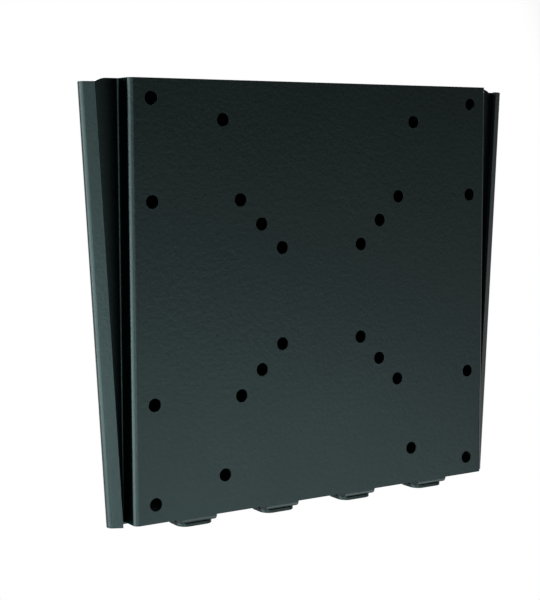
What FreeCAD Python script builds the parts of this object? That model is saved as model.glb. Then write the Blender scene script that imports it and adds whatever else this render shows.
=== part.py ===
"""Slim fixed TV wall mount: a folded wall plate with tapered side rails and a folded plate for the TV.

Millimetres. The origin is on the wall, behind the middle of the TV hole patterns. +Z is up, +X runs
along the wall and the TV hangs on the -Y side.
"""
import FreeCAD, Part
import math
import os

import Sketcher

# Driving dimensions: name, millimetres or degrees, what it measures.
DIMENSIONS = [
    ("sheet", 2.0, "thickness of the steel sheet of both plates"),
    ("bend", 0.8, "inside radius of the square bends"),
    ("stack_depth", 16.5, "wall to the face that carries the TV"),
    ("side_margin", 11.5, "outermost TV holes to the folded side of the TV plate"),
    ("end_margin", 9.7, "outermost TV holes to the TV plate's top and bottom edges"),
    ("lip_width", 4.85, "lip of the TV plate at its lower edge, beyond its bend"),
    ("lip_gap", 0.3, "between the lip of the TV plate and the wall plate behind it"),
    ("lip_play", 0.7, "between the lip of the TV plate and the rail in front of it"),
    ("lip_inset", 0.2, "lip edge inside the line where the rail starts to bend"),
    ("lip_corner", 10.0, "rounded upper corner of a lip"),
    ("lip_foot", 3.0, "rounded lower corner of a lip"),
    ("rail_taper", 3.0, "lean of a rail from the vertical, in degrees"),
    ("rail_tilt", 25.0, "lean of the rail's flange towards the room, in degrees"),
    ("rail_flange", 4.9, "flat width of the rail's flange"),
    ("wall_top_step", 1.95, "wall plate's top edge below that of the TV plate"),
    ("tab_width", 19.7, "width of a bottom tab"),
    ("tab_margin", 36.5, "middle of an outermost tab to the folded side of the TV plate"),
    ("tab_corner", 5.2, "rounded corner of a tab"),
    ("tab_neck", 0.05, "TV plate's edge to the start of its tab's bend"),
    ("wall_neck", 0.2, "wall plate's edge to the start of its tab's bend"),
    ("tab_setback", 2.0, "end of a wall tab behind the TV plate's face"),
    ("tab_wall_gap", 3.5, "end of a TV tab to the wall plate"),
    ("tv_hole", 6.8, "diameter of the TV screw holes"),
    ("large_square", 200.0, "spacing of the outermost square of TV holes, and width of the oblong one"),
    ("oblong_height", 100.0, "height of the oblong TV hole pattern"),
    ("medium_square", 100.0, "spacing of the medium square of TV holes"),
    ("small_square", 75.0, "spacing of the small square of TV holes"),
    ("tiny_square", 50.0, "spacing of the innermost square of TV holes"),
    ("spare_width", 120.0, "width of the upright TV hole pattern"),
    ("spare_inset", 10.0, "rows of the upright TV hole pattern inside the outermost rows"),
    ("wall_slot_width", 8.0, "wall slots, across, and the diameter of the stud holes"),
    ("wall_slot_length", 24.0, "wall slots, end to end"),
    ("wall_slot_pitch", 160.0, "wall slots, middle to middle along the wall"),
    ("wall_row_pitch", 150.0, "upper row of wall fixings to the lower row"),
]
TAB_COUNT = 4

# Places that several features share, as expressions on the driving dimensions.
FRONT = "-Size.stack_depth"
OUTER_BEND = "(Size.bend + Size.sheet)"
WEB_OUT = "(Size.large_square / 2 + Size.side_margin)"
WEB_IN = f"({WEB_OUT} - Size.sheet)"
FACE_TOP = "(Size.large_square / 2 + Size.end_margin)"
FACE_BOTTOM = f"-{FACE_TOP}"
LIP_BACK = "-Size.sheet - Size.lip_gap"
LIP_FRONT = "-2 * Size.sheet - Size.lip_gap"
LIP_ROOT = f"({WEB_OUT} + Size.bend)"
LEAN = "tan(Size.rail_taper * 1 deg)"
LIP_EDGE = f"({LIP_ROOT} + Size.lip_width + {FACE_TOP} * {LEAN})"
RAIL_LINE = f"({LIP_EDGE} + Size.lip_inset)"
RAIL_INNER = "(Size.sheet + Size.lip_gap + Size.lip_play) / 2"
RAIL_OUTER = "((3 * Size.sheet + Size.lip_gap + Size.lip_play) / 2)"
TAB_SEAT = f"{FACE_BOTTOM} - Size.tab_neck - {OUTER_BEND}"
WALL_TOP = f"({FACE_TOP} - Size.wall_top_step)"
WALL_BOTTOM = f"({FACE_BOTTOM} - Size.tab_neck - Size.sheet + Size.wall_neck)"
FIRST_TAB = f"(Size.tab_margin - {WEB_OUT})"

# A corner is rounded over no more than this share of the edge that it rounds.
ROUNDING_LIMIT = 0.9

# A place closer to an axis than this is on the axis.
ON_AXIS = 1e-6

LINE = None
HALF_CIRCLE = "half circle"
LEFT_TURN = 1
RIGHT_TURN = -1

document = FreeCAD.newDocument("tv_mount")


def make_sheet():
    """Puts the driving dimensions into a spreadsheet, one row each."""
    sheet = document.addObject("Spreadsheet::Sheet", "Size")
    for row, (name, size, note) in enumerate(DIMENSIONS, start=1):
        sheet.set(f"A{row}", name)
        sheet.set(f"B{row}", str(size))
        sheet.set(f"C{row}", note)
        sheet.setAlias(f"B{row}", name)
    document.recompute()
    return sheet


size_sheet = make_sheet()


def number(expression):
    """The present value of an expression on the driving dimensions."""
    result = size_sheet.evalExpression(expression)
    return float(getattr(result, "Value", result))


def minus(expression):
    return f"-({expression})"


def rounding(radius, edge):
    """A corner's radius, limited by the edge that it rounds."""
    return f"min({radius}; {ROUNDING_LIMIT} * ({edge}))"


def origin_feature(body, role):
    return next(item for item in body.Origin.OriginFeatures if item.Role == role)


def new_sketch(body, role, name):
    """A sketch on one of the body's own origin planes."""
    sketch = body.newObject("Sketcher::SketchObject", name)
    sketch.AttachmentSupport = [(origin_feature(body, role), "")]
    sketch.MapMode = "FlatFace"
    return sketch


def move_sketch(sketch, **places):
    """Moves a sketch off its plane, along the plane's own x, y and z."""
    for axis, expression in places.items():
        sketch.setExpression(f"AttachmentOffset.Base.{axis}", expression)


def pin(sketch, geometry, point, place):
    """Holds a point of a sketch at a place given by two expressions."""
    for kind, expression, axis in zip(("DistanceX", "DistanceY"), place, (-2, -1)):
        distance = number(expression)
        if abs(distance) < ON_AXIS:
            sketch.addConstraint(Sketcher.Constraint("PointOnObject", geometry, point, axis))
            continue
        ends = (-1, 1, geometry, point) if distance > 0 else (geometry, point, -1, 1)
        constraint = sketch.addConstraint(Sketcher.Constraint(kind, *ends, abs(distance)))
        sketch.setExpression(
            f"Constraints[{constraint}]", expression if distance > 0 else minus(expression)
        )


def bind_radius(sketch, geometry, expression):
    constraint = sketch.addConstraint(Sketcher.Constraint("Radius", geometry, number(expression)))
    sketch.setExpression(f"Constraints[{constraint}]", expression)


def arc_between(start, end, radius, turn):
    """The arc of under half a turn from start to end, as an edge that runs anticlockwise."""
    chord = end - start
    height = math.sqrt(max(radius**2 - chord.Length**2 / 4, 0.0))
    side = FreeCAD.Vector(-chord.y, chord.x, 0).normalize()
    centre = (start + end) / 2 + side * height * turn
    first, last = (start, end) if turn == LEFT_TURN else (end, start)
    first_angle = math.atan2(first.y - centre.y, first.x - centre.x)
    last_angle = math.atan2(last.y - centre.y, last.x - centre.x)
    if last_angle < first_angle:
        last_angle += 2 * math.pi
    circle = Part.Circle(centre, FreeCAD.Vector(0, 0, 1), radius)
    return Part.ArcOfCircle(circle, first_angle, last_angle)


def outline(sketch, corners):
    """A closed outline: each corner's place, and the line or the arc's (radius, turn) that leaves it.

    A half circle leaves for the corner straight above or below.
    """
    points = [FreeCAD.Vector(number(x), number(y), 0) for (x, y), _ in corners]
    edges = []
    for index, (_, path) in enumerate(corners):
        start, end = points[index], points[(index + 1) % len(points)]
        if path is LINE:
            edges.append((sketch.addGeometry(Part.LineSegment(start, end)), 1, 2))
            continue
        if path is HALF_CIRCLE:
            radius, turn = (end - start).Length / 2, LEFT_TURN
        else:
            radius, turn = number(path[0]), path[1]
        arc = sketch.addGeometry(arc_between(start, end, radius, turn))
        edges.append((arc, 1, 2) if turn == LEFT_TURN else (arc, 2, 1))
    for index, (geometry, begin, end) in enumerate(edges):
        following, next_begin, _ = edges[(index + 1) % len(edges)]
        sketch.addConstraint(Sketcher.Constraint("Coincident", geometry, end, following, next_begin))
        place, path = corners[index]
        pin(sketch, geometry, begin, place)
        if path is HALF_CIRCLE:
            sketch.addConstraint(Sketcher.Constraint("Vertical", geometry, 3, geometry, begin))
        elif path is not LINE:
            bind_radius(sketch, geometry, path[0])


def pad(body, sketch, length, reverse=False, both_ways=False):
    feature = body.newObject("PartDesign::Pad", f"{sketch.Name}_pad")
    feature.Profile = sketch
    feature.setExpression("Length", length)
    feature.Reversed = reverse
    feature.SideType = "Symmetric" if both_ways else "One side"
    return feature


def pocket(body, sketch):
    """Cuts a sketch right through, both ways."""
    feature = body.newObject("PartDesign::Pocket", f"{sketch.Name}_pocket")
    feature.Profile = sketch
    feature.Type = "ThroughAll"
    feature.SideType = "Symmetric"
    return feature


def mirror(body, name, features):
    """Copies features to the other side of the plate's upright centre plane."""
    feature = body.newObject("PartDesign::Mirrored", name)
    feature.Originals = features
    feature.MirrorPlane = (origin_feature(body, "YZ_Plane"), [""])
    body.Tip = feature
    return feature


def circle_at(sketch, x, z, diameter):
    """A hole at a place given by two expressions."""
    centre = FreeCAD.Vector(number(x), number(z), 0)
    radius = f"{diameter} / 2"
    circle = Part.Circle(centre, FreeCAD.Vector(0, 0, 1), number(radius))
    geometry = sketch.addGeometry(circle)
    pin(sketch, geometry, 3, (x, z))
    bind_radius(sketch, geometry, radius)


def slot_at(sketch, x, z, length, width):
    """A level slot with round ends, centred on a place given by two expressions."""
    reach = f"({length} - {width}) / 2"
    left, right = f"{x} - {reach}", f"{x} + {reach}"
    low, high = f"{z} - {width} / 2", f"{z} + {width} / 2"
    outline(
        sketch,
        [
            ((left, low), LINE),
            ((right, low), HALF_CIRCLE),
            ((right, high), LINE),
            ((left, high), HALF_CIRCLE),
        ],
    )


def tabs(body, name, root, away, edge, neck, underside, end):
    """A row of bottom tabs, bent square from a plate's lower edge.

    root is the plate's outer face, away is the way that the tabs point along Y, edge is the plate's
    lower edge, neck the straight run below it, underside the tab's lower face and end its free end.
    """
    inner_face = f"{root} + {away} * Size.sheet"
    bend_end = f"{root} + {away} * {OUTER_BEND}"
    bend_start = f"{edge} - {neck}"
    topside = f"{underside} + Size.sheet"
    outer = (OUTER_BEND, LEFT_TURN * away)
    inner = ("Size.bend", RIGHT_TURN * away)

    section = new_sketch(body, "YZ_Plane", f"{name}_bend")
    move_sketch(section, z=FIRST_TAB)
    outline(
        section,
        [
            ((root, edge), LINE),
            ((root, bend_start), outer),
            ((bend_end, underside), LINE),
            ((bend_end, topside), inner),
            ((inner_face, bend_start), LINE),
            ((inner_face, edge), LINE),
        ],
    )
    bend = pad(body, section, "Size.tab_width", both_ways=True)

    plan = new_sketch(body, "XY_Plane", f"{name}_tongue")
    move_sketch(plan, x=FIRST_TAB, z=underside)
    side = "Size.tab_width / 2"
    radius = rounding("Size.tab_corner", f"{away} * ({end} - ({bend_end}))")
    corner_x = f"Size.tab_width / 2 - {radius}"
    corner_y = f"{end} - {away} * {radius}"
    corner = (radius, LEFT_TURN * away)
    outline(
        plan,
        [
            ((minus(side), bend_end), LINE),
            ((side, bend_end), LINE),
            ((side, corner_y), corner),
            ((corner_x, end), LINE),
            ((minus(corner_x), end), corner),
            ((minus(side), corner_y), LINE),
        ],
    )
    tongue = pad(body, plan, "Size.sheet")

    row = body.newObject("PartDesign::LinearPattern", f"{name}_row")
    row.Originals = [bend, tongue]
    row.Direction = (origin_feature(body, "X_Axis"), [""])
    row.setExpression("Length", f"-2 * {FIRST_TAB}")
    row.Occurrences = TAB_COUNT
    body.Tip = row


def make_tv_plate():
    """The plate that the TV is screwed to: a face, two folded sides and two tapered lips."""
    body = document.addObject("PartDesign::Body", "tv_plate")
    body.Label = "tv_plate"

    # Half of the folded section, from the centre plane out to the start of the lip.
    back = f"{FRONT} + Size.sheet"
    outer = (OUTER_BEND, LEFT_TURN)
    section = new_sketch(body, "XY_Plane", "folded_face")
    outline(
        section,
        [
            (("0", FRONT), LINE),
            ((f"{WEB_OUT} - {OUTER_BEND}", FRONT), outer),
            ((WEB_OUT, f"{FRONT} + {OUTER_BEND}"), LINE),
            ((WEB_OUT, f"{LIP_FRONT} - Size.bend"), ("Size.bend", RIGHT_TURN)),
            ((LIP_ROOT, LIP_FRONT), LINE),
            ((LIP_ROOT, LIP_BACK), outer),
            ((WEB_IN, f"{LIP_FRONT} - Size.bend"), LINE),
            ((WEB_IN, f"{back} + Size.bend"), ("Size.bend", RIGHT_TURN)),
            ((f"{WEB_IN} - Size.bend", back), LINE),
            (("0", back), LINE),
        ],
    )
    face = pad(body, section, f"2 * {FACE_TOP}", both_ways=True)

    # The lip widens upwards with the rail that it slides into, and its corners are rounded.
    lip_top = f"({LIP_EDGE} + {FACE_TOP} * {LEAN})"
    lip_bottom = f"({LIP_EDGE} - {FACE_TOP} * {LEAN})"
    upper_radius = rounding("Size.lip_corner", f"{lip_top} - {LIP_ROOT}")
    lower_radius = rounding("Size.lip_foot", "Size.lip_width")
    upper_run = f"{upper_radius} / tan(45 deg - Size.rail_taper * 0.5 deg)"
    lower_run = f"{lower_radius} / tan(45 deg + Size.rail_taper * 0.5 deg)"
    along_x = "sin(Size.rail_taper * 1 deg)"
    along_z = "cos(Size.rail_taper * 1 deg)"
    flat = new_sketch(body, "XZ_Plane", "lip")
    move_sketch(flat, z=minus(LIP_BACK))
    outline(
        flat,
        [
            ((LIP_ROOT, FACE_BOTTOM), LINE),
            ((f"{lip_bottom} - {lower_run}", FACE_BOTTOM), (lower_radius, LEFT_TURN)),
            (
                (f"{lip_bottom} + {lower_run} * {along_x}", f"{FACE_BOTTOM} + {lower_run} * {along_z}"),
                LINE,
            ),
            (
                (f"{lip_top} - {upper_run} * {along_x}", f"{FACE_TOP} - {upper_run} * {along_z}"),
                (upper_radius, LEFT_TURN),
            ),
            ((f"{lip_top} - {upper_run}", FACE_TOP), LINE),
            ((LIP_ROOT, FACE_TOP), LINE),
        ],
    )
    lip = pad(body, flat, "Size.sheet")
    document.recompute()
    mirror(body, "both_sides", [face, lip])

    tab_end = "-Size.sheet - Size.tab_wall_gap"
    tabs(body, "tv_tab", FRONT, 1, FACE_BOTTOM, "Size.tab_neck", TAB_SEAT, tab_end)

    # Screw holes, each pattern on the corners of its rectangle.
    patterns = [
        ("large_holes", "Size.large_square", "Size.large_square"),
        ("oblong_holes", "Size.large_square", "Size.oblong_height"),
        ("upright_holes", "Size.spare_width", "(Size.large_square - 2 * Size.spare_inset)"),
        ("medium_holes", "Size.medium_square", "Size.medium_square"),
        ("small_holes", "Size.small_square", "Size.small_square"),
        ("tiny_holes", "Size.tiny_square", "Size.tiny_square"),
    ]
    for name, width, height in patterns:
        holes = new_sketch(body, "XZ_Plane", name)
        for x in (f"-{width} / 2", f"{width} / 2"):
            for z in (f"-{height} / 2", f"{height} / 2"):
                circle_at(holes, x, z, "Size.tv_hole")
        body.Tip = pocket(body, holes)
    return body


def make_wall_plate():
    """The plate on the wall: a tapered back whose sides are folded over into rails."""
    body = document.addObject("PartDesign::Body", "wall_plate")
    body.Label = "wall_plate"

    back = new_sketch(body, "XZ_Plane", "back")
    top_x = f"({RAIL_LINE} + ({WALL_TOP}) * {LEAN})"
    bottom_x = f"({RAIL_LINE} + ({WALL_BOTTOM}) * {LEAN})"
    outline(
        back,
        [
            ((minus(bottom_x), WALL_BOTTOM), LINE),
            ((bottom_x, WALL_BOTTOM), LINE),
            ((top_x, WALL_TOP), LINE),
            ((minus(top_x), WALL_TOP), LINE),
        ],
    )
    pad(body, back, "Size.sheet")

    # Rail section, square to the leaning bend line, with its origin at the centre of the bend.
    across = "sin(Size.rail_tilt * 1 deg)"
    out = "cos(Size.rail_tilt * 1 deg)"
    section = new_sketch(body, "XY_Plane", "rail")
    section.AttachmentOffset = FreeCAD.Placement(
        FreeCAD.Vector(), FreeCAD.Rotation(FreeCAD.Vector(0, 1, 0), number("Size.rail_taper"))
    )
    section.setExpression("AttachmentOffset.Rotation.Angle", "Size.rail_taper * 1 deg")
    move_sketch(section, x=RAIL_LINE, y=minus(RAIL_OUTER))
    outline(
        section,
        [
            (("0", RAIL_INNER), LINE),
            (("0", RAIL_OUTER), (RAIL_OUTER, RIGHT_TURN)),
            ((f"{RAIL_OUTER} * {across}", f"-{RAIL_OUTER} * {out}"), LINE),
            (
                (
                    f"{RAIL_OUTER} * {across} - Size.rail_flange * {out}",
                    f"-{RAIL_OUTER} * {out} - Size.rail_flange * {across}",
                ),
                LINE,
            ),
            (
                (
                    f"{RAIL_INNER} * {across} - Size.rail_flange * {out}",
                    f"-{RAIL_INNER} * {out} - Size.rail_flange * {across}",
                ),
                LINE,
            ),
            ((f"{RAIL_INNER} * {across}", f"-{RAIL_INNER} * {out}"), (RAIL_INNER, LEFT_TURN)),
        ],
    )
    stock = f"4 * {FACE_TOP}"
    rail = pad(body, section, stock, both_ways=True)
    document.recompute()
    mirror(body, "both_rails", [rail])

    # The rails are made over length and cut level with the back.
    ends = new_sketch(body, "XZ_Plane", "rail_ends")
    far_x = f"2 * {RAIL_LINE}"
    for low, high in ((WALL_TOP, stock), (minus(stock), WALL_BOTTOM)):
        outline(
            ends,
            [
                ((minus(far_x), low), LINE),
                ((far_x, low), LINE),
                ((far_x, high), LINE),
                ((minus(far_x), high), LINE),
            ],
        )
    pocket(body, ends)

    tab_end = f"{FRONT} + Size.tab_setback"
    tabs(body, "wall_tab", "0", -1, WALL_BOTTOM, "Size.wall_neck", f"{TAB_SEAT} - Size.sheet", tab_end)

    # Two rows of wall fixings: slots for level adjustment and a hole on the centre line for a stud.
    fixings = new_sketch(body, "XZ_Plane", "wall_fixings")
    for z in ("-Size.wall_row_pitch / 2", "Size.wall_row_pitch / 2"):
        circle_at(fixings, "0", z, "Size.wall_slot_width")
        for x in ("-Size.wall_slot_pitch / 2", "Size.wall_slot_pitch / 2"):
            slot_at(fixings, x, z, "Size.wall_slot_length", "Size.wall_slot_width")
    body.Tip = pocket(body, fixings)
    return body


def check_document(bodies):
    """Stops if a feature failed or a plate isn't one valid solid."""
    for item in document.Objects:
        if {"Invalid", "Error"} & set(item.State):
            raise RuntimeError(f"{item.Name} failed: {item.State}")
    for body in bodies:
        if body.Shape.isNull() or not body.Shape.isValid() or len(body.Shape.Solids) != 1:
            raise RuntimeError(f"{body.Label} is not one valid solid")


plates = [make_tv_plate(), make_wall_plate()]
document.recompute()
check_document(plates)
os.makedirs("parts", exist_ok=True)
for plate in plates:
    plate.Shape.exportStep(f"parts/{plate.Label}.step")
    box = plate.Shape.BoundBox
    extent = f"{box.XLength:.2f} x {box.YLength:.2f} x {box.ZLength:.2f} mm"
    print(f"{plate.Label}: {extent}, {plate.Shape.Volume:.0f} mm3")
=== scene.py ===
import math

import bmesh
import bpy
from mathutils import Matrix, Vector


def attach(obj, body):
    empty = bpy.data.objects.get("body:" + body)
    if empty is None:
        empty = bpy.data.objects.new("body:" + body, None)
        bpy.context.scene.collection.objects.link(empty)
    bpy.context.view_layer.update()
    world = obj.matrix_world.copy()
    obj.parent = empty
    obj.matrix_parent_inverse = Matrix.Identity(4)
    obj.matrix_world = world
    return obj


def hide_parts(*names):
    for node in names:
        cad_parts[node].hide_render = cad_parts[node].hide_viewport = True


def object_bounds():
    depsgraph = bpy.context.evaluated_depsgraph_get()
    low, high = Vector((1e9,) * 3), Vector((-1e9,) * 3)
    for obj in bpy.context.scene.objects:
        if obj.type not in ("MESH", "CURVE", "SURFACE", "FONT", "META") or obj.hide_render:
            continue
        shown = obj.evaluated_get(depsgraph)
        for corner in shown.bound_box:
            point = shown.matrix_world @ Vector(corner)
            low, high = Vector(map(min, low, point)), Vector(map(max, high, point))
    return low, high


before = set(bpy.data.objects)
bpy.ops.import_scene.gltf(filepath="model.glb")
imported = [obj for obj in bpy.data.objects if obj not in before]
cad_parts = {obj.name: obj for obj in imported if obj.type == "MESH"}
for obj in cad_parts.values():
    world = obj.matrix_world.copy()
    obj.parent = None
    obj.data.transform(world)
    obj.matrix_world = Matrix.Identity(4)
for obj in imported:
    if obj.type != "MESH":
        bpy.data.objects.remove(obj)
cad_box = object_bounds()

# Wall plate: one steel sheet, 2 mm thick, screwed flat to the wall before anything else. Its sides are
# folded over into leaning rails and its lower edge carries four tabs. It is punched, bent and then
# powder coated, so every cut edge ends slightly rounded under the coat.
WELD = 1e-6
FLAT_FACES = math.radians(0.5)
CUT_EDGE = math.radians(40)
EDGE_ROUND = 0.0003
EDGE_STEPS = 2

DARK_POWDER = (0.0018, 0.0025, 0.0025, 1.0)
LIGHT_POWDER = (0.0028, 0.0039, 0.0039, 1.0)
# Dark, metallic steel: the colour of the painted shade on both plates.
PAINTED_SHADE_STEEL = (0.0020, 0.0025, 0.0025, 1.0)
GRAIN = {"Scale": 3800.0, "Detail": 2.0, "Roughness": 0.55}
PEEL = {"Scale": 520.0, "Detail": 1.0, "Roughness": 0.55}
CLOUDS = {"Scale": 16.0, "Detail": 2.0, "Roughness": 0.55}
TONE_BY_GRAIN = 0.7
TONE_BY_CLOUDS = 0.3
BUMP_BY_PEEL = 0.85
BUMP_BY_GRAIN = 0.15
BUMP_STRENGTH = 0.245
BUMP_HEIGHT = 0.00038
SATIN = 0.28
SATIN_BY_GRAIN = 0.10
SATIN_BY_CLOUDS = 0.06
COAT_IOR = 1.55
GLOSS_TINT = (0.65, 1.0, 1.0, 1.0)
WALL_SEED = 0.0

# Painted shade on the wall plate: its tabs, a dark seam along their top front edge, and its covered face.
TAB_TOP = -0.1125
TAB_FADE = 0.0003
TAB_SHADE = 0.30
SEAM_HEIGHT = 0.00045
SEAM_DEPTH = -0.0137
FACE_FRONT = -0.0026
FACE_MIDDLE = -0.0014
FACE_SIDE = 0.110
FACE_FADE = 0.004
FACE_SHADE = 0.92


def coated_plate(node):
    """A copy of a plate's solid with its cut edges rounded as the coat leaves them."""
    shape = bmesh.new()
    shape.from_mesh(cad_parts[node].data)
    bmesh.ops.remove_doubles(shape, verts=shape.verts, dist=WELD)
    bmesh.ops.dissolve_limit(shape, angle_limit=FLAT_FACES, verts=shape.verts, edges=shape.edges)
    cut_edges = [edge for edge in shape.edges if edge.is_manifold and edge.calc_face_angle() > CUT_EDGE]
    bmesh.ops.bevel(
        shape, geom=cut_edges, offset=EDGE_ROUND, offset_type="OFFSET", affect="EDGES",
        segments=EDGE_STEPS, profile=0.5, material=-1, clamp_overlap=True,
    )
    for face in shape.faces:
        face.smooth = True
    mesh = bpy.data.meshes.new(f"coated_{node}")
    shape.to_mesh(mesh)
    shape.free()
    plate = bpy.data.objects.new(f"coated_{node}", mesh)
    bpy.context.scene.collection.objects.link(plate)
    normals = plate.modifiers.new("flat faces stay flat", "WEIGHTED_NORMAL")
    normals.mode = "FACE_AREA_WITH_ANGLE"
    return plate


class Wire:
    """A socket of a material's nodes. Arithmetic on it adds Math nodes, and node() adds any other."""

    def __init__(self, tree, socket=None):
        self.tree = tree
        self.socket = socket

    def node(self, kind, settings=None, sockets=None, output=0):
        made = self.tree.nodes.new(kind)
        for name, setting in (settings or {}).items():
            setattr(made, name, setting)
        for name, source in (sockets or {}).items():
            if isinstance(source, Wire):
                self.tree.links.new(source.socket, made.inputs[name])
            else:
                made.inputs[name].default_value = source
        return Wire(self.tree, made.outputs[output] if made.outputs else None)

    def math(self, operation, other=0.0):
        return self.node("ShaderNodeMath", {"operation": operation}, {0: self, 1: other})

    def __add__(self, other):
        return self.math("ADD", other)

    def __sub__(self, other):
        return self.math("SUBTRACT", other)

    def __rsub__(self, other):
        return self.node("ShaderNodeMath", {"operation": "SUBTRACT"}, {0: other, 1: self})

    def __mul__(self, other):
        return self.math("MULTIPLY", other)

    def __lt__(self, other):
        return self.math("LESS_THAN", other)

    def __gt__(self, other):
        return self.math("GREATER_THAN", other)

    def __abs__(self):
        return self.math("ABSOLUTE")

    __radd__ = __add__
    __rmul__ = __mul__

    def rise(self, start, full):
        """From 0 where the value is start to 1 where it is full, and level beyond."""
        return self.node("ShaderNodeMapRange", sockets={"Value": self, "From Min": start, "From Max": full})


def powder_coat(name, seed, shade_mask):
    """Dark satin powder coat: fine grain, the low peel of the melted powder and faint broad clouds.

    Where the mask function gives a share of painted shade, the coat turns to dark metallic steel, which
    darkens it and takes away its gloss.
    """
    material = bpy.data.materials.new(name)
    material.use_nodes = True
    material.node_tree.nodes.clear()
    coat = Wire(material.node_tree)
    place = coat.node("ShaderNodeTexCoord", output="Object")
    shifted = coat.node("ShaderNodeMapping", sockets={"Vector": place, "Location": (seed, seed, seed)})
    grain, peel, clouds = (
        coat.node("ShaderNodeTexNoise", sockets={"Vector": shifted, **pattern})
        for pattern in (GRAIN, PEEL, CLOUDS)
    )

    def mix(factor, first, second):
        sockets = {0: factor, "A": first, "B": second}
        return coat.node("ShaderNodeMix", {"data_type": "RGBA"}, sockets, output=2)

    across, depth, height = (
        coat.node("ShaderNodeSeparateXYZ", sockets={"Vector": place}, output=axis) for axis in "XYZ"
    )
    painted_shade_share = shade_mask(across, depth, height)
    powder = mix(TONE_BY_GRAIN * grain + TONE_BY_CLOUDS * clouds, DARK_POWDER, LIGHT_POWDER)
    bumps = coat.node("ShaderNodeBump", sockets={
        "Height": BUMP_BY_PEEL * peel + BUMP_BY_GRAIN * grain,
        "Strength": BUMP_STRENGTH,
        "Distance": BUMP_HEIGHT,
    })
    # The mask's share of painted shade turns the base colour to dark steel and the coat metallic, dark and
    # unglossy.
    surface = coat.node("ShaderNodeBsdfPrincipled", sockets={
        "Base Color": mix(painted_shade_share, powder, PAINTED_SHADE_STEEL),
        "Metallic": painted_shade_share,
        "Roughness": SATIN + SATIN_BY_GRAIN * grain + SATIN_BY_CLOUDS * clouds,
        "Normal": bumps,
        "IOR": COAT_IOR,
        "Specular Tint": GLOSS_TINT,
    })
    coat.node("ShaderNodeOutputMaterial", sockets={"Surface": surface})
    return material


def shade_on_wall_plate(across, depth, height):
    """Painted shade: the tabs beneath the TV plate's tabs and the covered face are made darker and duller.

    Powder does thin at the tabs' rims, but the whole tabs are darkened, and the covered face is darkened as
    shade in the gap between the plates. A painted dark seam runs along the top of the tabs' front, where the
    TV plate's tabs rest on them.
    """
    tabs = height.rise(TAB_TOP + TAB_FADE, TAB_TOP)
    seam_shade = tabs * (height > TAB_TOP - SEAM_HEIGHT) * (depth < SEAM_DEPTH)
    front = (depth > FACE_FRONT) * (depth < FACE_MIDDLE)
    covered_shade = abs(across).rise(FACE_SIDE, FACE_SIDE - FACE_FADE) * front
    return (TAB_SHADE * tabs).math("MAXIMUM", seam_shade).math("MAXIMUM", FACE_SHADE * covered_shade)


wall_plate = coated_plate("wall_plate")
wall_plate.data.materials.append(powder_coat("wall plate coat", WALL_SEED, shade_on_wall_plate))
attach(wall_plate, "root")
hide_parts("wall_plate")

# TV plate: one steel sheet, 2 mm thick, screwed to the back of the screen through its drilled face. Its
# sides are folded back and end in tapered lips that drop into the wall plate's rails, and its own tabs
# then rest on those of the wall plate. It has the same coat, from the same batch.
TV_SEED = 3.7
# Painted shade on the TV plate: the channel by each side, spared at the fold's corner, hole walls, a tab
# seam.
SIDE = 0.1115
SIDE_SHEET = 0.0025
SIDE_FRONT = -0.0136
SIDE_FADE = 0.0005
LIP_FRONT = -0.0043
LIP_FADE = 0.012
SPARED_WIDTH = 0.0011
SPARED_CORE = 0.45
SPARED_SHARE = 0.75
SPARED_END = -0.095
SPARED_FULL = -0.035
HOLE_FRONT = -0.0162
HOLE_BACK = -0.0148
HOLE_REACH = 0.105
HOLE_SHADE = 0.85
TAB_REST = -0.1121


def shade_on_tv_plate(across, depth, height):
    """Painted shade: the channel by each folded side and the screw holes' walls are made dark and dull.

    It is darkest on the side and fades out along the lip, and it is spared along the fold's corner, which
    keeps its highlight, less so towards the lower end. A painted dark seam runs along the front of the tabs'
    undersides, where they rest on the wall plate's.
    """
    aside = abs(across) - SIDE
    ahead = depth - LIP_FRONT
    spared = (aside * aside + ahead * ahead).rise(SPARED_WIDTH ** 2, (SPARED_CORE * SPARED_WIDTH) ** 2)
    spared = spared * height.rise(SPARED_END, SPARED_FULL)
    beside = aside.rise(LIP_FADE, 0.0) * (aside > -SIDE_SHEET)
    fold_shade = beside * depth.rise(SIDE_FRONT - SIDE_FADE, SIDE_FRONT) * (1.0 - SPARED_SHARE * spared)
    holes = (depth > HOLE_FRONT) * (depth < HOLE_BACK)
    holes = holes * (abs(across) < HOLE_REACH) * (abs(height) < HOLE_REACH)
    seam_shade = (height < TAB_REST) * (depth < SEAM_DEPTH)
    return fold_shade.math("MAXIMUM", HOLE_SHADE * holes).math("MAXIMUM", seam_shade)


tv_plate = coated_plate("tv_plate")
tv_plate.data.materials.append(powder_coat("tv plate coat", TV_SEED, shade_on_tv_plate))
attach(tv_plate, "root")
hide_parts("tv_plate")

# Floor and backdrop: one sweep of graduated paper, well below the mount because the mount hangs on a
# wall. It is pale grey underfoot and turns white around a middle behind the mount, where it curves up.
FLOOR_DROP = 0.60
FLOOR_REACH = 30.0
BACKDROP_DISTANCE = 4.0
BACKDROP_HEIGHT = 8.0
SWEEP_RADIUS = 1.0
SWEEP_STEPS = 24
PAPER_WHITE = (1.0, 1.0, 1.0, 1.0)
PAPER_GREY = (0.5, 0.5, 0.5, 1.0)
WHITE_MIDDLE = (1.9, 3.0, -0.2)
WHITE_RADIUS = 2.3
GREY_RADIUS = 3.1
SHADED_SHARE = 0.2


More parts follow.
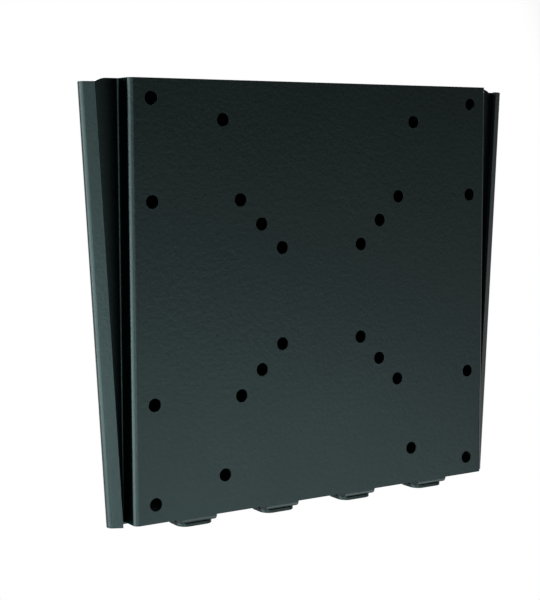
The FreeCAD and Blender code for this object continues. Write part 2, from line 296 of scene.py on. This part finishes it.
def paper_sweep():
    """A floor that is drawn out from its front edge and then up, with a round bend between."""
    shape = bmesh.new()
    floor_height = cad_box[0][2] - FLOOR_DROP
    front = [shape.verts.new((side * FLOOR_REACH, -FLOOR_REACH, floor_height)) for side in (-1, 1)]
    edge = shape.edges.new(front)
    for step in (Vector((0, FLOOR_REACH + BACKDROP_DISTANCE, 0)), Vector((0, 0, BACKDROP_HEIGHT))):
        grown = bmesh.ops.extrude_edge_only(shape, edges=[edge])["geom"]
        ends = [part for part in grown if isinstance(part, bmesh.types.BMVert)]
        bmesh.ops.translate(shape, vec=step, verts=ends)
        edge = shape.edges.get(ends)
    corner = [part for part in shape.edges if len(part.link_faces) == 2]
    bmesh.ops.bevel(
        shape, geom=corner, offset=SWEEP_RADIUS, offset_type="OFFSET", affect="EDGES",
        segments=SWEEP_STEPS, profile=0.5, material=-1,
    )
    bmesh.ops.recalc_face_normals(shape, faces=shape.faces)
    for face in shape.faces:
        face.smooth = True
    mesh = bpy.data.meshes.new("white_sweep")
    shape.to_mesh(mesh)
    shape.free()
    made = bpy.data.objects.new("white_sweep", mesh)
    bpy.context.scene.collection.objects.link(made)
    return made


def graduated_paper():
    """Paper that shows its own tone to the camera and in reflections, and still takes shadows."""
    material = bpy.data.materials.new("white paper")
    material.use_nodes = True
    material.node_tree.nodes.clear()
    paper = Wire(material.node_tree)
    shown = paper.node("ShaderNodeLightPath", output="Is Camera Ray")
    for ray in ("Is Glossy Ray", "Is Transmission Ray"):
        shown = shown.math("MAXIMUM", paper.node("ShaderNodeLightPath", output=ray))
    place = paper.node("ShaderNodeTexCoord", output="Object")
    away = paper.node("ShaderNodeVectorMath", {"operation": "DISTANCE"}, {0: place, 1: WHITE_MIDDLE}, "Value")
    fade = paper.node("ShaderNodeMapRange", {"interpolation_type": "SMOOTHSTEP"}, {
        "Value": away, "From Min": WHITE_RADIUS, "From Max": GREY_RADIUS,
    })
    tone = paper.node("ShaderNodeMix", {"data_type": "RGBA"}, {0: fade, "A": PAPER_WHITE, "B": PAPER_GREY}, 2)
    surface = paper.node("ShaderNodeMixShader", sockets={
        0: shown * (1.0 - SHADED_SHARE * fade),
        1: paper.node("ShaderNodeBsdfDiffuse", sockets={"Color": tone}),
        2: paper.node("ShaderNodeEmission", sockets={"Color": tone, "Strength": 1.0}),
    })
    paper.node("ShaderNodeOutputMaterial", sockets={"Surface": surface})
    return material


sweep = paper_sweep()
sweep.data.materials.append(graduated_paper())

# Light: a wide softbox and two strips on the left, two strips by the camera, and three low cards in front
# and below that bring out the lower bends. Lamps above, behind and to the right serve the other sides.
# Places and sizes are in metres, each lamp is turned towards the mount, and the room itself is dim.
ROOM_GREY = (0.05, 0.05, 0.05, 1.0)
LAMPS = [
    {"name": "left softbox", "place": (-1.80, -0.04, 0.00), "size": (2.0, 1.3), "watts": 23.5},
    {"name": "left rear strip", "place": (-1.63, 0.76, 0.00), "size": (0.4, 1.3), "watts": 8.2},
    {"name": "left low strip", "place": (-1.69, -0.15, -0.62), "size": (1.2, 0.3), "watts": 6.2},
    {"name": "camera strip", "place": (-0.95, -1.53, 0.00), "size": (0.7, 1.3), "watts": 3.7},
    {"name": "camera low strip", "place": (-1.04, -1.33, -0.62), "size": (0.8, 0.3), "watts": 5.2},
    {"name": "front low card", "place": (0.00, -1.69, -0.62), "size": (0.8, 0.3), "watts": 2.5},
    {"name": "right low card", "place": (0.82, -1.49, -0.59), "size": (0.9, 0.4), "watts": 2.3},
    {"name": "under card", "place": (0.25, -0.30, -0.66), "size": (0.66, 0.5), "watts": 2.0},
    {"name": "right rear lamp", "place": (1.40, 1.00, 0.60), "size": (0.8, 0.8), "watts": 12.0},
    {"name": "back lamp", "place": (0.35, 1.75, 0.70), "size": (0.8, 0.8), "watts": 15.0},
    {"name": "top lamp", "place": (0.30, 0.20, 1.80), "size": (1.0, 1.0), "watts": 15.0},
]

world = bpy.data.worlds.new("dim room")
world.use_nodes = True
world.node_tree.nodes["Background"].inputs["Color"].default_value = ROOM_GREY
bpy.context.scene.world = world

for lamp in LAMPS:
    light = bpy.data.lights.new(lamp["name"], "AREA")
    light.shape = "RECTANGLE"
    light.size, light.size_y = lamp["size"]
    light.energy = lamp["watts"]
    stand = bpy.data.objects.new(lamp["name"], light)
    turn = (-Vector(lamp["place"])).to_track_quat("-Z", "Y")
    stand.matrix_world = Matrix.Translation(lamp["place"]) @ turn.to_matrix().to_4x4()
    stand.visible_camera = False
    bpy.context.scene.collection.objects.link(stand)

# Camera: a long lens, to the left of the mount and a little above its middle. Its place and turn are those
# from which the screw holes, at their standard spacings, fall where the photograph has them.
CAMERA_PLACE = (-0.4107, -0.6143, 0.0720)
CAMERA_TURN = math.radians(32.307)
CAMERA_DIP = math.radians(5.956)
CAMERA_ROLL = math.radians(-0.216)
FOCAL_PIXELS = 1381.5
PICTURE_WIDTH = 540
SENSOR = 36.0
FARTHEST_VIEW = 200.0

lens = bpy.data.cameras.new("camera")
lens.sensor_fit = "HORIZONTAL"
lens.sensor_width = SENSOR
lens.lens = SENSOR * FOCAL_PIXELS / PICTURE_WIDTH
lens.clip_end = FARTHEST_VIEW
camera = bpy.data.objects.new("camera", lens)
camera.matrix_world = (
    Matrix.Translation(CAMERA_PLACE)
    @ Matrix.Rotation(-CAMERA_TURN, 4, "Z")
    @ Matrix.Rotation(math.pi / 2 - CAMERA_DIP, 4, "X")
    @ Matrix.Rotation(CAMERA_ROLL, 4, "Z")
)
bpy.context.scene.collection.objects.link(camera)
bpy.context.scene.camera = camera
bpy.context.scene.view_settings.view_transform = "Standard"
